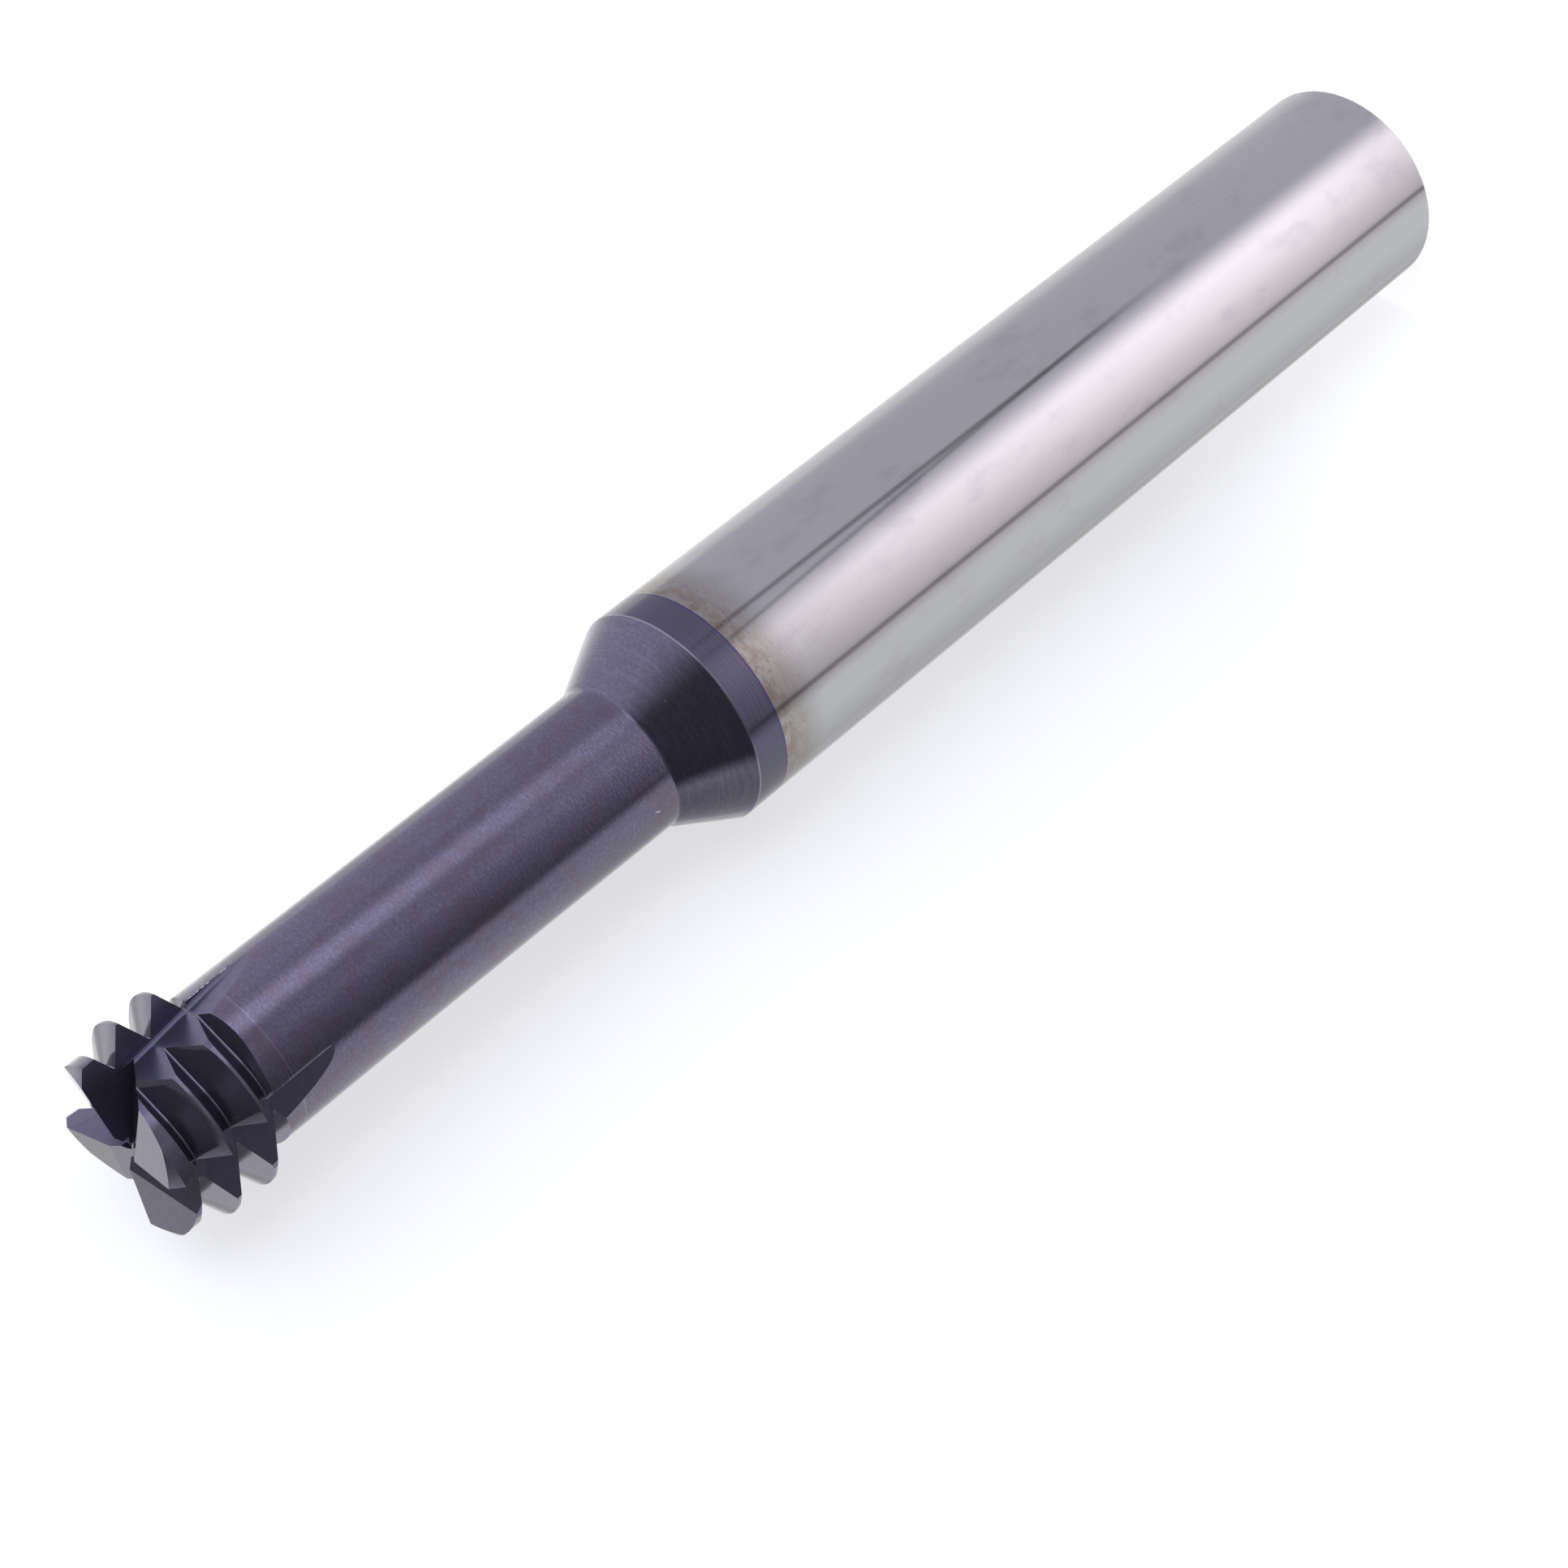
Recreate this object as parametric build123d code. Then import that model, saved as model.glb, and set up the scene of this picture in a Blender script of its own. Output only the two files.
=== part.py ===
"""Solid carbide thread mill with a plain cylindrical shank, a tapered shoulder, a slender neck and a toothed head.

Millimetres. The tool stands on the flat end of its shank at the origin, and +Z runs to the cutting end.
"""

import os
from math import cos, hypot, radians, sin, tan

from build123d import *

# Blank
OVERALL_LENGTH = 75.0
SHANK_DIAMETER = 10.0
SHANK_END_CHAMFER = 0.12
SHOULDER_Z = 46.0
SHOULDER_ROUND = 0.15
TAPER_LENGTH = 3.0
NECK_DIAMETER = 6.75
TAPER_FOOT_ROUND = 0.4

# Thread form, measured in the plane of a cutting edge
PITCH = 1.75
TEETH = 3
FLANK_ANGLE = 30.0
HEAD_DIAMETER = 9.0
ROOT_RADIUS = 3.15
ROOT_FLAT = 0.06
FIRST_CREST_DIAMETER = 8.0
FIRST_CREST_FROM_TIP = 0.6
TIP_RADIUS = 3.35

# Blades: each frame has its +X through the cutting edge at the middle of the head
BLADES = 4
INDEX_ANGLE = 248.0
SECTOR_LEAD = 7.0
RELIEF_CENTRE = (0.8, -0.2)
STRAIGHT_HEEL_ANGLE = 49.0
END_DISH_ANGLE = 4.6
END_RELIEF_ANGLE = 13.5

# Straight flutes: a V that leans with the skew and runs out on the neck
FLUTE_REFERENCE_FROM_TIP = 3.5
FLUTE_REFERENCE_Z = OVERALL_LENGTH - FLUTE_REFERENCE_FROM_TIP
FLUTE_CORNER_RADIUS = 2.935
FLUTE_CORNER_OFFSET = 0.07
FLUTE_RISE_ANGLE = 5.2
FLUTE_SKEW_ANGLE = 4.5
RAKE_WALL_ANGLE = 2.0
FLUTE_OPENING_ANGLE = 88.3
FLUTE_CORNER_ROUND = 0.2
FLUTE_LENGTH = 9.0
FLUTE_OVERRUN = 2.0
FLUTE_START_Z = OVERALL_LENGTH - FLUTE_LENGTH

# End gashes: a V from each flute corner to the middle of the end
GASH_CENTRE_DEPTH = 0.74
GASH_CENTRE_Z = OVERALL_LENGTH - GASH_CENTRE_DEPTH
GASH_ANGLE = 28.2
GASH_FLOOR_ANGLE = 30.5
CENTRE_RELIEF_RADIUS = 0.4

# Extents of the tools that cut the head
REACH = 4.5
HEAD_LENGTH = 6.0
END_OVERRUN = 0.5
HEAD_BACK_Z = OVERALL_LENGTH - HEAD_LENGTH


def radial_frame(angle):
    """Gives a unit direction in the plan at an angle from +X."""
    return Vector(cos(radians(angle)), sin(radians(angle)), 0)


def shank_and_neck():
    """Turns the blank from the shank end to the back of the head."""
    shank_radius = SHANK_DIAMETER / 2
    neck_radius = NECK_DIAMETER / 2
    points = [
        (0, 0),
        (shank_radius - SHANK_END_CHAMFER, 0),
        (shank_radius, SHANK_END_CHAMFER),
        (shank_radius, SHOULDER_Z),
        (neck_radius, SHOULDER_Z + TAPER_LENGTH),
        (neck_radius, HEAD_BACK_Z),
        (0, HEAD_BACK_Z),
    ]
    outline = Plane.XZ * make_face(Polyline(*points, close=True))
    blank = revolve(outline, Axis.Z)
    rims = blank.edges().filter_by(GeomType.CIRCLE)
    shoulder = [e for e in rims if abs(e.center().Z - SHOULDER_Z) < 1e-3]
    blank = fillet(shoulder, SHOULDER_ROUND)
    rims = blank.edges().filter_by(GeomType.CIRCLE)
    foot = [e for e in rims if abs(e.center().Z - SHOULDER_Z - TAPER_LENGTH) < 1e-3]
    return fillet(foot, TAPER_FOOT_ROUND)


def relief_distance(radius):
    """Gives the distance from the relief axis of a point at a radius on the cutting edge plane."""
    return hypot(radius - RELIEF_CENTRE[0], RELIEF_CENTRE[1])


def tooth_form():
    """Turns the thread form about the relief axis and runs it out straight at the heel."""
    slope = tan(radians(FLANK_ANGLE))
    first_crest_z = OVERALL_LENGTH - FIRST_CREST_FROM_TIP
    peak_radius = ROOT_RADIUS + (PITCH - ROOT_FLAT) / 2 / slope
    root = relief_distance(ROOT_RADIUS)
    peak = relief_distance(peak_radius)
    back_root_z = first_crest_z - (TEETH - 0.5) * PITCH
    back_rise = (back_root_z - ROOT_FLAT / 2 - HEAD_BACK_Z) / slope
    points = [(0, HEAD_BACK_Z), (relief_distance(ROOT_RADIUS + back_rise), HEAD_BACK_Z)]
    for i in range(TEETH):
        root_z = back_root_z + i * PITCH
        points.append((root, root_z - ROOT_FLAT / 2))
        points.append((root, root_z + ROOT_FLAT / 2))
        if i < TEETH - 1:
            points.append((peak, root_z + PITCH / 2))
    last_root_z = back_root_z + (TEETH - 1) * PITCH + ROOT_FLAT / 2
    front_radius = (TIP_RADIUS + ROOT_RADIUS + (OVERALL_LENGTH - last_root_z) / slope) / 2
    front_z = OVERALL_LENGTH - (front_radius - TIP_RADIUS) * slope
    points.append((relief_distance(front_radius), front_z))
    points.append((relief_distance(TIP_RADIUS - END_OVERRUN / slope), OVERALL_LENGTH + END_OVERRUN))
    points.append((0, OVERALL_LENGTH + END_OVERRUN))
    outline = Plane.XZ * make_face(Polyline(*points, close=True))
    turned = revolve(outline, Axis.Z)
    straight = Rot(0, 0, STRAIGHT_HEEL_ANGLE) * extrude(outline, amount=REACH, dir=(0, 1, 0))
    return Pos(*RELIEF_CENTRE, 0) * (turned + straight)


def relief_disc(radius_at_edge, z0, z1):
    """Builds a disc about the relief axis that passes a cutting edge at the radius given."""
    disc = extrude(Circle(relief_distance(radius_at_edge)), z1 - z0)
    return Pos(*RELIEF_CENTRE, z0) * disc


def end_sector():
    """Builds the slice of the plan that belongs to one blade, topped by its dished and relieved end face."""
    step = 360 / BLADES
    start = radial_frame(-SECTOR_LEAD) * 4 * REACH
    stop = radial_frame(step - SECTOR_LEAD) * 4 * REACH
    plan = make_face(Polyline((0, 0), (start.X, start.Y), (stop.X, stop.Y), close=True))
    slice_body = Pos(0, 0, HEAD_BACK_Z) * extrude(plan, 2 * REACH)
    dish = tan(radians(END_DISH_ANGLE))
    fall = tan(radians(END_RELIEF_ANGLE))
    at_tip = Vector(TIP_RADIUS, rake_offset(TIP_RADIUS, OVERALL_LENGTH), OVERALL_LENGTH)
    end_plane = Plane(origin=at_tip, z_dir=Vector(-dish, fall, 1))
    return split(slice_body, bisect_by=end_plane, keep=Keep.BOTTOM)


def blade():
    """Builds one relieved blade between the flute and gash ahead of it and those behind it."""
    back_root_z = OVERALL_LENGTH - FIRST_CREST_FROM_TIP - (TEETH - 0.5) * PITCH
    last_root_z = back_root_z + (TEETH - 1) * PITCH
    neck = Pos(0, 0, HEAD_BACK_Z) * extrude(Circle(NECK_DIAMETER / 2), back_root_z - HEAD_BACK_Z)
    full_teeth = relief_disc(HEAD_DIAMETER / 2, back_root_z, last_root_z)
    first_tooth = relief_disc(FIRST_CREST_DIAMETER / 2, last_root_z, OVERALL_LENGTH + END_OVERRUN)
    stock = neck + full_teeth + first_tooth
    body = (stock & end_sector()) & tooth_form()
    behind = Rot(0, 0, 360 / BLADES)
    for cut in (flute(), gash()):
        body -= cut
        body -= behind * cut
    return body - Pos(0, 0, GASH_CENTRE_Z) * extrude(Circle(CENTRE_RELIEF_RADIUS), REACH)


def rake_offset(radius, z):
    """Gives how far the rake wall lies from the blade's own X axis at a radius and a height."""
    lean = tan(radians(FLUTE_SKEW_ANGLE)) * (z - FLUTE_REFERENCE_Z)
    return FLUTE_CORNER_OFFSET + tan(radians(RAKE_WALL_ANGLE)) * (radius - FLUTE_CORNER_RADIUS) - lean


def flute():
    """Builds the leaning V ahead of a cutting edge."""
    run = Vector(-tan(radians(FLUTE_RISE_ANGLE)), -tan(radians(FLUTE_SKEW_ANGLE)), 1)
    start = run * (FLUTE_START_Z - FLUTE_REFERENCE_Z)
    corner = Vector(FLUTE_CORNER_RADIUS + start.X, FLUTE_CORNER_OFFSET + start.Y, 0)
    rake_wall = radial_frame(RAKE_WALL_ANGLE) * REACH
    heel_wall = radial_frame(RAKE_WALL_ANGLE - FLUTE_OPENING_ANGLE) * REACH
    outline = [corner, corner + rake_wall, corner + rake_wall + heel_wall, corner + heel_wall]
    section = make_face(Polyline(*outline, close=True))
    inner = section.vertices().sort_by_distance(corner)[0]
    section = fillet(inner, FLUTE_CORNER_ROUND)
    length = (OVERALL_LENGTH + FLUTE_OVERRUN - FLUTE_START_Z) * run.length
    return extrude(Pos(0, 0, FLUTE_START_Z) * section, amount=length, dir=run)


def gash():
    """Builds the V that opens the end from the axis to the flute corner, ahead of a cutting edge."""
    middle = Vector(0, 0, GASH_CENTRE_Z)
    tip_corner = Vector(TIP_RADIUS, rake_offset(TIP_RADIUS, OVERALL_LENGTH), OVERALL_LENGTH)
    corner_z = GASH_CENTRE_Z - FLUTE_CORNER_RADIUS * tan(radians(GASH_ANGLE))
    corner_radius = FLUTE_CORNER_RADIUS - tan(radians(FLUTE_RISE_ANGLE)) * (corner_z - FLUTE_REFERENCE_Z)
    flute_corner = Vector(corner_radius, rake_offset(corner_radius, corner_z), corner_z)
    wall_normal = (flute_corner - middle).cross(tip_corner - middle).normalized()
    floor_normal = Vector(tan(radians(GASH_ANGLE)), tan(radians(GASH_FLOOR_ANGLE)), 1).normalized()
    valley = wall_normal.cross(floor_normal).normalized()
    if valley.X > 0:
        valley = valley * -1
    up_wall = valley.cross(wall_normal)
    if up_wall.Z < 0:
        up_wall = up_wall * -1
    up_floor = valley.cross(floor_normal)
    if up_floor.Y > 0:
        up_floor = up_floor * -1
    start = middle - valley * 2 * REACH
    outline = [start, start + up_wall * REACH, start + (up_wall + up_floor) * REACH, start + up_floor * REACH]
    section = make_face(Polyline(*outline, close=True))
    return extrude(section, amount=3 * REACH, dir=valley)


def thread_mill():
    """Runs the flutes out on the neck, then joins the finished blades to the blank."""
    turns = [Rot(0, 0, INDEX_ANGLE + 360 / BLADES * i) for i in range(BLADES)]
    tool = shank_and_neck()
    one_blade = blade()
    one_flute = flute()
    for turn in turns:
        tool -= turn * one_flute
    for turn in turns:
        tool += turn * one_blade
    return tool


os.makedirs("parts", exist_ok=True)
tool = thread_mill()
tool.label = "thread_mill"
export_step(tool, "parts/thread_mill.step")
print("solids", len(tool.solids()), "volume", round(tool.volume, 2), "size", tool.bounding_box().size)
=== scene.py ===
"""Studio picture of a solid carbide thread mill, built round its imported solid.

Metres. The tool stands on its shank end with +Z to the cutting end, and the camera is rolled so that the tool
lies across the picture.
"""

import logging
from dataclasses import dataclass, field
from enum import Enum
from math import atan2, cos, degrees, radians, sin, tan
from typing import Any, Optional

import bmesh
import bpy
from mathutils import Euler, Matrix, Vector

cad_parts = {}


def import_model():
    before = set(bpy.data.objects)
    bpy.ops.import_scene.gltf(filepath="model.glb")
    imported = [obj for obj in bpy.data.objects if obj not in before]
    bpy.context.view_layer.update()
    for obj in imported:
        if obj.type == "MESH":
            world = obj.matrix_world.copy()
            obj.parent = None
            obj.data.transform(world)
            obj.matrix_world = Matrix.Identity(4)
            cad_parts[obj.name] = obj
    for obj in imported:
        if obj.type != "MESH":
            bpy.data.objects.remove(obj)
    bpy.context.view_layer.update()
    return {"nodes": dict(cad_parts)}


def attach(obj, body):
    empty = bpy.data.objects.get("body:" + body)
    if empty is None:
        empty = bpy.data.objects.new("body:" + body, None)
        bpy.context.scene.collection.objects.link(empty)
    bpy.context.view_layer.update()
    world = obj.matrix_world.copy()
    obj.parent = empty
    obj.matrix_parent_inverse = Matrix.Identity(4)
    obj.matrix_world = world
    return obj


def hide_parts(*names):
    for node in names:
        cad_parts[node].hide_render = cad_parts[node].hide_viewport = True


MM = 0.001
SHOULDER_Z_MM = 46.0
TAPER_FOOT_Z_MM = 49.0
LOG = logging.getLogger("thread_mill")

PRODUCT = {"operation": "MULTIPLY"}
PRODUCT_AND_SUM = {"operation": "MULTIPLY_ADD"}
SUM = {"operation": "ADD"}
DIFFERENCE = {"operation": "SUBTRACT"}
QUOTIENT = {"operation": "DIVIDE"}
MAGNITUDE = {"operation": "ABSOLUTE"}
LARGER = {"operation": "MAXIMUM"}
ANGLE = {"operation": "ARCTAN2"}
DOT = {"operation": "DOT_PRODUCT"}
CROSS = {"operation": "CROSS_PRODUCT"}
LENGTH = {"operation": "LENGTH"}
SOFT_STEP = {"interpolation_type": "SMOOTHSTEP"}
COLOUR_MIX = {"data_type": "RGBA"}
NUMBER_MIX = {"data_type": "FLOAT"}

Tree = bpy.types.NodeTree
Node = bpy.types.Node
Source = Any
Point = tuple[float, float, float]
Span = tuple[float, float]
Levels = tuple[Span, ...]


def linear_rgba(hex_colour: str, alpha: float = 1.0) -> tuple[float, float, float, float]:
    """Turns an sRGB hex colour to the linear values that a shader takes.

    Args:
        hex_colour: Six hex digits, with or without a leading #.
        alpha: The fourth value.

    Returns:
        Red, green, blue and alpha, linear.
    """
    digits = hex_colour.lstrip("#")
    channels = []
    for i in (0, 2, 4):
        c = int(digits[i : i + 2], 16) / 255
        channels.append(c / 12.92 if c <= 0.04045 else ((c + 0.055) / 1.055) ** 2.4)
    return (channels[0], channels[1], channels[2], alpha)


def add_node(
    tree: Tree, kind: str, settings: Optional[dict[str, Any]] = None, *sources: Source, **named: Source
) -> Node:
    """Adds one shader node with its settings, values and links.

    A source is a number, a vector, a colour as sRGB hex, an output, or a node, which stands for its first output
    that is in use.

    Args:
        tree: The node tree that gets the node.
        kind: The node's type without its ShaderNode prefix.
        settings: The node's own properties.
        *sources: What goes into the inputs that the settings leave in use, in their order.
        **named: What goes into an input by its name, with _ for a space.

    Returns:
        The new node.
    """
    node = tree.nodes.new("ShaderNode" + kind)
    for name, setting in (settings or {}).items():
        setattr(node, name, setting)
    pairs = list(zip([socket for socket in node.inputs if socket.enabled], sources))
    pairs += [(node.inputs[name.replace("_", " ")], source) for name, source in named.items()]
    for socket, source in pairs:
        if isinstance(source, bpy.types.Node):
            source = next(output for output in source.outputs if output.enabled)
        if isinstance(source, bpy.types.NodeSocket):
            tree.links.new(source, socket)
        else:
            socket.default_value = linear_rgba(source) if isinstance(source, str) else source
    return node


def window(tree: Tree, value: Source, rise: Span, fall: Span) -> Node:
    """Adds a soft window on a value.

    Args:
        tree: The node tree.
        value: What is looked at.
        rise: Where the window goes from 0 to 1.
        fall: Where it goes from 0 to 1 coming from its other side.

    Returns:
        The node that gives 1 in the window and 0 outside it.
    """
    sides = [add_node(tree, "MapRange", SOFT_STEP, value, *span) for span in (rise, fall)]
    return add_node(tree, "Math", PRODUCT, *sides)


def new_material(name: str) -> tuple[bpy.types.Material, Tree]:
    """Makes an empty node material.

    Args:
        name: The material's name.

    Returns:
        The material and its node tree.
    """
    material = bpy.data.materials.new(name)
    material.use_nodes = True
    material.node_tree.nodes.clear()
    return material, material.node_tree


def new_object(name: str, shape: bmesh.types.BMesh) -> bpy.types.Object:
    """Turns a bmesh into an object at the origin and frees it.

    Args:
        name: The object's name.
        shape: The finished bmesh.

    Returns:
        The linked object.
    """
    mesh = bpy.data.meshes.new(name)
    shape.to_mesh(mesh)
    shape.free()
    made = bpy.data.objects.new(name, mesh)
    bpy.context.scene.collection.objects.link(made)
    return made


class Zone(Enum):
    """The zones of the tool's surface, in the order of its material slots."""

    SHANK = 0
    COATED_TURNED = 1
    COATED_HEAD = 2
    FLUTE = 3


@dataclass(frozen=True)
class Grain:
    """A noise with its own size round the tool and along it, in millimetres."""

    round_mm: float
    along_mm: float
    detail: float = 3.0
    roughness: float = 0.6

    def build(self, tree: Tree, place: Source) -> Node:
        """Adds the noise.

        Args:
            tree: The node tree.
            place: The object coordinates.

        Returns:
            The node that gives the noise, about 0.5 in the middle.
        """
        across = 1 / (self.round_mm * MM)
        mapped = add_node(tree, "Mapping", None, place, Scale=(across, across, 1 / (self.along_mm * MM)))
        return add_node(tree, "TexNoise", None, mapped, 1.0, self.detail, self.roughness)


@dataclass(frozen=True)
class Patches:
    """Soft patches, which go from the least share to the most where a noise crosses a span."""

    grain: Grain
    span: Span
    most: float = 1.0
    least: float = 0.0

    def mask(self, tree: Tree, place: Source) -> Node:
        """Adds the patches at the object coordinates and gives their mask."""
        return add_node(
            tree, "MapRange", SOFT_STEP, self.grain.build(tree, place), *self.span, self.least, self.most
        )


@dataclass(frozen=True)
class Specks:
    """Scattered round specks: the distance between their places, their radius, and the share that is there."""

    cell_mm: float
    radius_mm: float
    kept: float
    kept_slack: float = 0.02

    def mask(self, tree: Tree, place: Source) -> Node:
        """Adds the specks.

        Args:
            tree: The node tree.
            place: The object coordinates.

        Returns:
            The node that gives 1 on a speck.
        """
        cells = add_node(tree, "TexVoronoi", None, place, 1 / (self.cell_mm * MM))
        reach = self.radius_mm / self.cell_mm
        near = add_node(tree, "MapRange", SOFT_STEP, cells.outputs["Distance"], reach, reach / 2)
        draw = add_node(tree, "SeparateColor", None, cells.outputs["Color"])
        limits = (self.kept + self.kept_slack, self.kept - self.kept_slack)
        picked = add_node(tree, "MapRange", SOFT_STEP, draw, *limits)
        return add_node(tree, "Math", PRODUCT, near, picked)


@dataclass(frozen=True)
class FineMark:
    """A short thin line on the surface, such as a fibre of dust or a worn length of edge, in millimetres."""

    start: Point
    stop: Point
    half_width: float = 0.03

    def mask(self, tree: Tree, place: Source) -> Node:
        """Adds the line.

        Args:
            tree: The node tree.
            place: The object coordinates.

        Returns:
            The node that gives 1 on the line.
        """
        start, run = Vector(self.start) * MM, (Vector(self.stop) - Vector(self.start)) * MM
        way = run.normalized()
        half = self.half_width * MM
        off = add_node(tree, "VectorMath", DIFFERENCE, place, start)
        along = add_node(tree, "VectorMath", DOT, off, way)
        apart = add_node(tree, "VectorMath", LENGTH, add_node(tree, "VectorMath", CROSS, off, way))
        between = window(tree, along, (-half, half), (run.length + half, run.length - half))
        near = add_node(tree, "MapRange", SOFT_STEP, apart, half, half / 2)
        return add_node(tree, "Math", PRODUCT, near, between)


@dataclass(frozen=True)
class PolishedCarbide:
    """Bare cemented carbide, centreless ground and polished: a clean grey metal that mirrors sharply.

    The wheel left faint rings. The coating run left a grey veil and a brown haze below the edge of the coating,
    and handling left smudges. Fine dark pits crowd towards that edge.
    """

    name: str = "polished_bare_carbide"
    colour: str = "AFB0B4"
    veil: str = "9D9D9C"
    haze: str = "887D73"
    smudge: str = "9C9AA2"
    pit: str = "5A5454"
    roughness: float = 0.075
    # The wheel's rings are finer than the picture shows, so they are drawn as coarse as they need to show.
    rings: Grain = Grain(1.5, 0.09)
    ring_depth_mm: float = 0.0005
    veil_below_edge_mm: Span = (2.6, 1.1)
    haze_below_edge_mm: Span = (1.8, 0.1)
    haze_patches: Patches = Patches(Grain(0.6, 0.35, 5.0, 0.7), (0.4, 0.6), most=0.95, least=0.25)
    smudge_patches: Patches = Patches(Grain(1.6, 3.0, 4.0), (0.52, 0.72), most=0.45)
    pits_below_edge_mm: Span = (3.0, 0.5)
    edge_pits: Specks = Specks(0.22, 0.055, kept=0.5)
    stray_pits: Specks = Specks(0.6, 0.07, kept=0.1)
    stray_share: float = 0.5
    pit_share: float = 0.45

    def build(self, coating_edge_z_mm: float) -> bpy.types.Material:
        """Builds the material.

        Args:
            coating_edge_z_mm: Height where the coating starts.

        Returns:
            The node material.
        """
        material, tree = new_material(self.name)
        place = add_node(tree, "TexCoord").outputs["Object"]
        height = add_node(tree, "SeparateXYZ", None, place).outputs["Z"]
        spans = (self.veil_below_edge_mm, self.haze_below_edge_mm, self.pits_below_edge_mm)
        reaches = [[(coating_edge_z_mm - below) * MM for below in span] for span in spans]
        veil, near_haze, crowd = [add_node(tree, "MapRange", SOFT_STEP, height, *reach) for reach in reaches]
        haze = add_node(tree, "Math", PRODUCT, near_haze, self.haze_patches.mask(tree, place))
        pits = add_node(tree, "Math", PRODUCT, self.edge_pits.mask(tree, place), crowd)
        stray = add_node(tree, "Math", PRODUCT, self.stray_pits.mask(tree, place), self.stray_share)
        dark = add_node(tree, "Math", PRODUCT, add_node(tree, "Math", LARGER, pits, stray), self.pit_share)

        colour: Source = self.colour
        smudges = self.smudge_patches.mask(tree, place)
        for share, tint in ((veil, self.veil), (smudges, self.smudge), (haze, self.haze), (dark, self.pit)):
            colour = add_node(tree, "Mix", COLOUR_MIX, share, colour, tint)
        rings = self.rings.build(tree, place)
        bump = add_node(tree, "Bump", None, Height=rings, Strength=1.0, Distance=self.ring_depth_mm * MM)
        surface = add_node(
            tree, "BsdfPrincipled", Base_Color=colour, Metallic=1.0, Roughness=self.roughness, Normal=bump
        )
        add_node(tree, "OutputMaterial", Surface=surface)
        return material


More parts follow.
